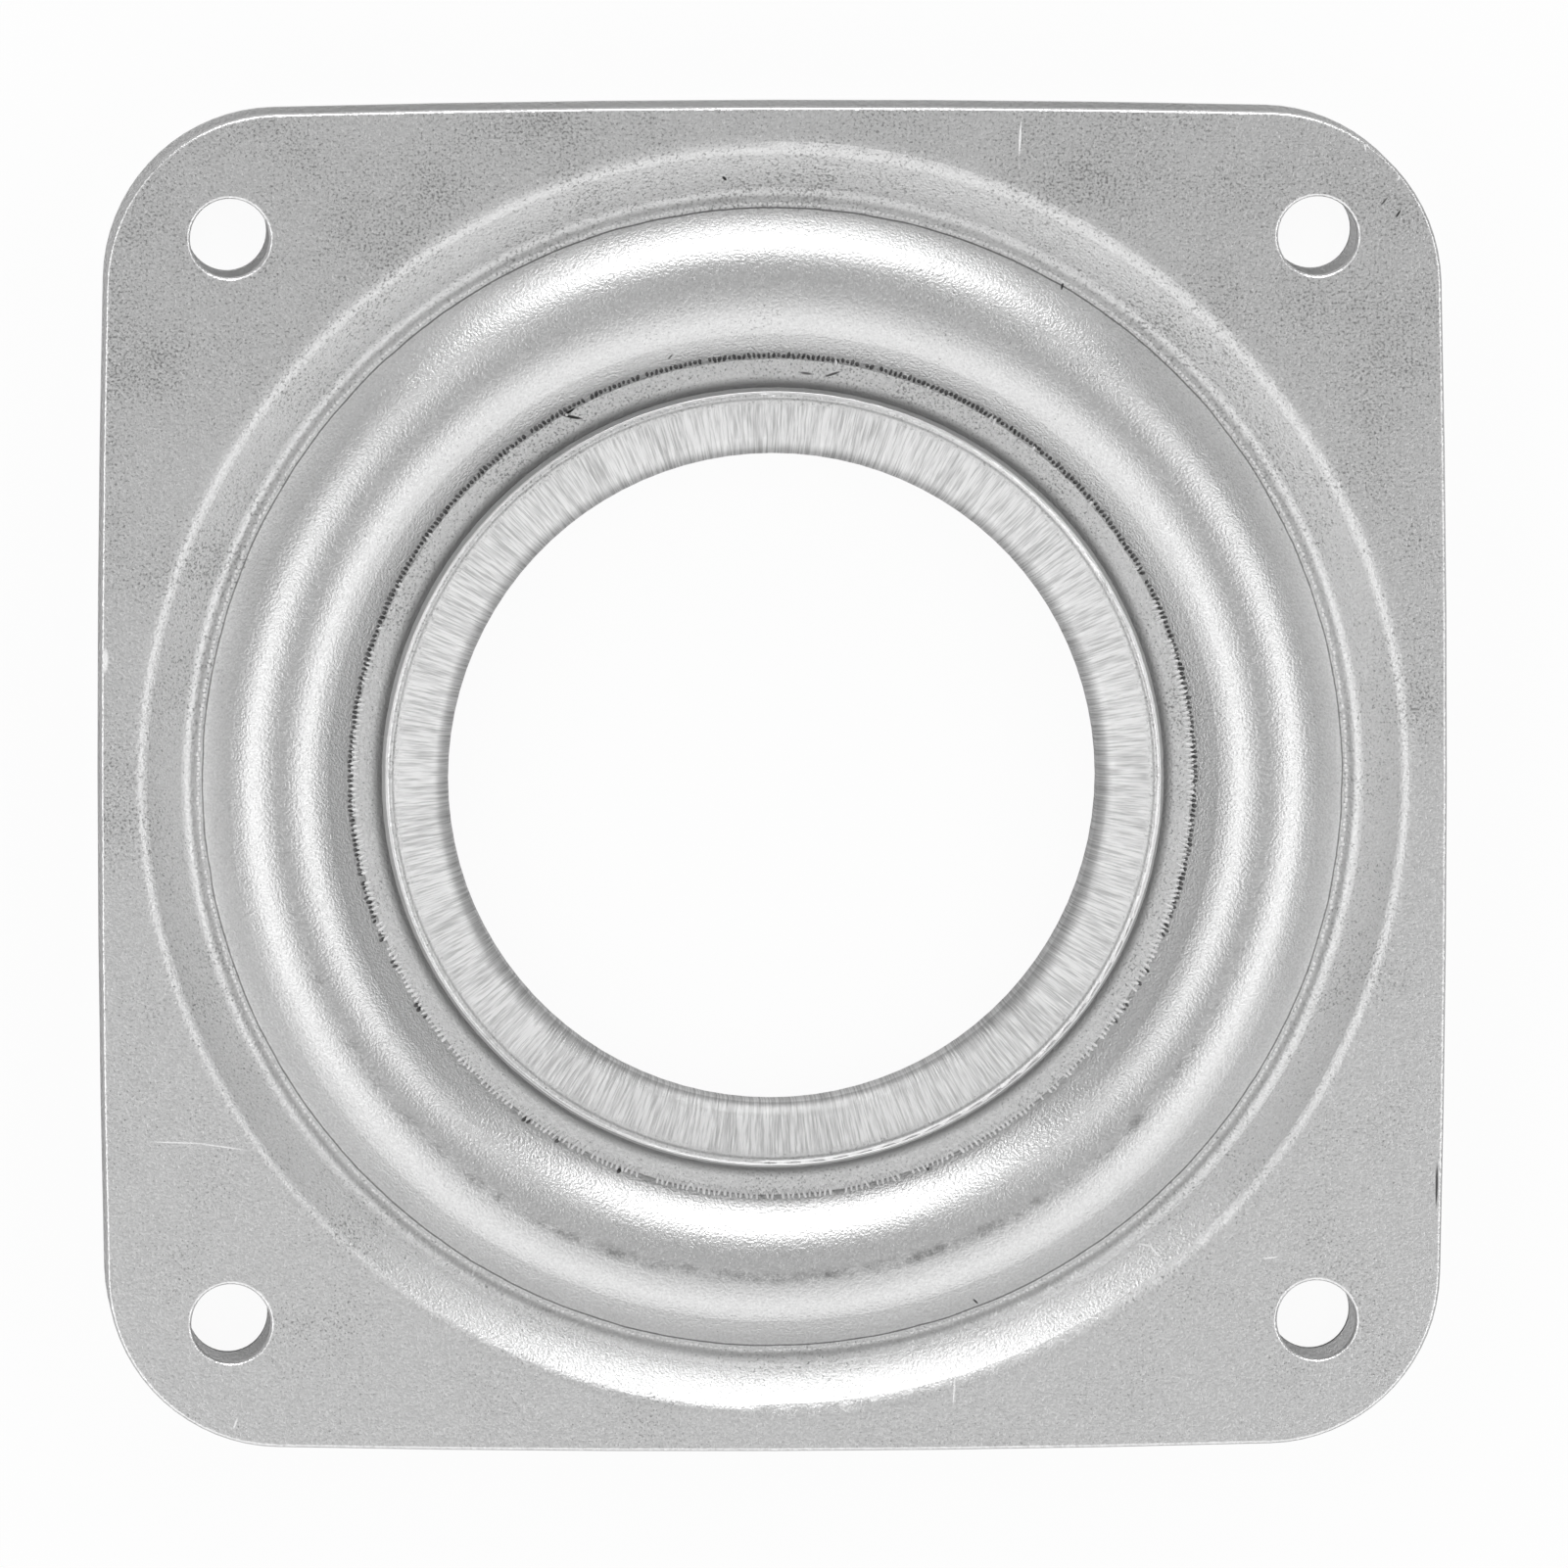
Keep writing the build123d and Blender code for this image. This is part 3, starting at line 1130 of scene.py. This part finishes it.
@dataclass(frozen=True)
class Studio:
    """Pale floor, soft light and the camera, which looks almost straight down as in the photograph.

    The lean is how far the camera stands off the vertical, towards the top and the left of the photograph.
    """

    camera_distance: float = 2.0
    lean_up: float = math.radians(4.3)
    lean_left: float = math.radians(2.3)
    frame_width: float = 88.66 * MM
    aim_right: float = 0.558 * MM
    aim_up: float = -0.212 * MM
    floor_size: float = 6.0
    floor_gap: float = 0.02 * MM
    paper: str = "#BEBEBE"
    clean_brightness: float = 1.05
    clean_share: float = 0.9
    ceiling: float = 0.315
    front_wall: float = 0.50
    other_walls: float = 0.23
    soft_boxes: tuple[SoftBox, ...] = (
        SoftBox("back_box", azimuth=90, zenith=72, width=0.80, height=0.50, radiance=2.8),
        SoftBox("left_box", azimuth=180, zenith=39, width=0.75, height=0.43, radiance=1.22),
        SoftBox("right_box", azimuth=0, zenith=41.5, width=0.75, height=0.35, radiance=1.38),
        SoftBox("front_box", azimuth=270, zenith=46, width=1.6, height=0.7, radiance=0.36),
        SoftBox("front_reflector", azimuth=270, zenith=72, width=2.6, height=0.6, radiance=0.32),
    )

    def build_floor(self) -> bpy.types.Object:
        """Make the floor, a matt white sheet that the camera sees as a clean background.

        Returns:
            The floor.
        """
        half = self.floor_size / 2
        mesh = bpy.data.meshes.new("floor")
        corners = [(-half, -half), (half, -half), (half, half), (-half, half)]
        mesh.from_pydata([(x, y, -self.floor_gap) for x, y in corners], [], [(0, 1, 2, 3)])
        floor = new_object("floor", mesh)
        material = new_material("matt_white_paper")
        tree = material.node_tree
        ray = add_node(tree, "ShaderNodeLightPath")["Is Camera Ray"]
        paper = add_node(tree, "ShaderNodeBsdfDiffuse", {"Color": linear(self.paper)})[0]
        clean = add_node(tree, "ShaderNodeEmission", {
            "Color": linear("#FFFFFF"), "Strength": self.clean_brightness})[0]
        share = add_node(tree, MATH, {0: ray, 1: self.clean_share}, operation="MULTIPLY")[0]
        mixed = add_node(tree, "ShaderNodeMixShader", {0: share, 1: paper, 2: clean})[0]
        add_node(tree, "ShaderNodeOutputMaterial", {"Surface": mixed})
        mesh.materials.append(material)
        return floor

    def build_world(self) -> bpy.types.World:
        """Make the even light of the studio's white walls, brighter in front of the part and overhead.

        Returns:
            The world.
        """
        world = bpy.data.worlds.new("studio_walls")
        world.use_nodes = True
        tree = world.node_tree
        tree.nodes.clear()
        ray = add_node(tree, "ShaderNodeLightPath")["Is Camera Ray"]
        view = add_node(tree, "ShaderNodeTexCoord")["Generated"]
        way = add_node(tree, "ShaderNodeSeparateXYZ", {0: view})
        front, beside = -0.5, 0.0
        wall = add_node(tree, MAP_RANGE, {
            "Value": way["Y"], "From Min": front, "From Max": beside,
            "To Min": self.front_wall, "To Max": self.other_walls})[0]
        low, overhead = 0.35, 0.85
        room = add_node(tree, MAP_RANGE, {
            "Value": way["Z"], "From Min": low, "From Max": overhead,
            "To Min": wall, "To Max": self.ceiling})[0]
        strength = add_node(tree, MIX, {0: ray, 2: room, 3: 1.0})[0]
        walls = add_node(tree, "ShaderNodeBackground", {"Color": linear("#FFFFFF"), "Strength": strength})
        add_node(tree, "ShaderNodeOutputWorld", {"Surface": walls[0]})
        bpy.context.scene.world = world
        return world

    def build_camera(self) -> bpy.types.Object:
        """Make the camera and aim it as the photograph is framed.

        Returns:
            The camera.
        """
        target = Vector((self.aim_right, self.aim_up, cad_box[1].z))
        away = Vector((-math.tan(self.lean_left), math.tan(self.lean_up), 1)).normalized()
        data = bpy.data.cameras.new("camera")
        data.lens = data.sensor_width * self.camera_distance / self.frame_width
        data.clip_start = self.camera_distance / 10
        camera = new_object("camera", data)
        camera.location = target + away * self.camera_distance
        camera.rotation_euler = facing(away, Vector((0, 1, 0)))
        bpy.context.scene.camera = camera
        return camera

    def build(self) -> None:
        """Make the whole studio."""
        self.build_floor()
        self.build_world()
        for soft_box in self.soft_boxes:
            soft_box.build()
        self.build_camera()
        settings = bpy.context.scene.view_settings
        settings.view_transform = "Standard"
        settings.look = "None"
        LOG.info("studio built, %d lights", len(self.soft_boxes))


@dataclass(frozen=True)
class Plates:
    """The two pressed plates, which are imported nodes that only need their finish."""

    pressing: Pressing
    finish: GalvanisedSheet

    def dress(self) -> None:
        """Give each plate its galvanised finish."""
        for side in PlateSide:
            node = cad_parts[f"{side.value}_plate"]
            node.data.materials.clear()
            node.data.materials.append(self.finish.material(side, self.pressing))
            LOG.info("%s dressed", node.name)


@dataclass(frozen=True)
class BallRing:
    """The ring of loose balls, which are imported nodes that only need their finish."""

    finish: PolishedBallSteel

    def dress(self) -> None:
        """Give every ball the polished finish."""
        material = self.finish.material()
        balls = [node for name, node in sorted(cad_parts.items()) if name.startswith("ball_")]
        for node in balls:
            node.data.materials.clear()
            node.data.materials.append(material)
        LOG.info("%d balls dressed", len(balls))


def main() -> None:
    """Build the studio and dress the part."""
    logging.basicConfig(level=logging.INFO, format="%(name)s: %(message)s")
    pressing = Pressing()
    Studio().build()
    Plates(pressing, GalvanisedSheet()).dress()
    BallRing(PolishedBallSteel()).dress()
    ToolMarks(pressing).build()


if __name__ == "__main__":
    main()
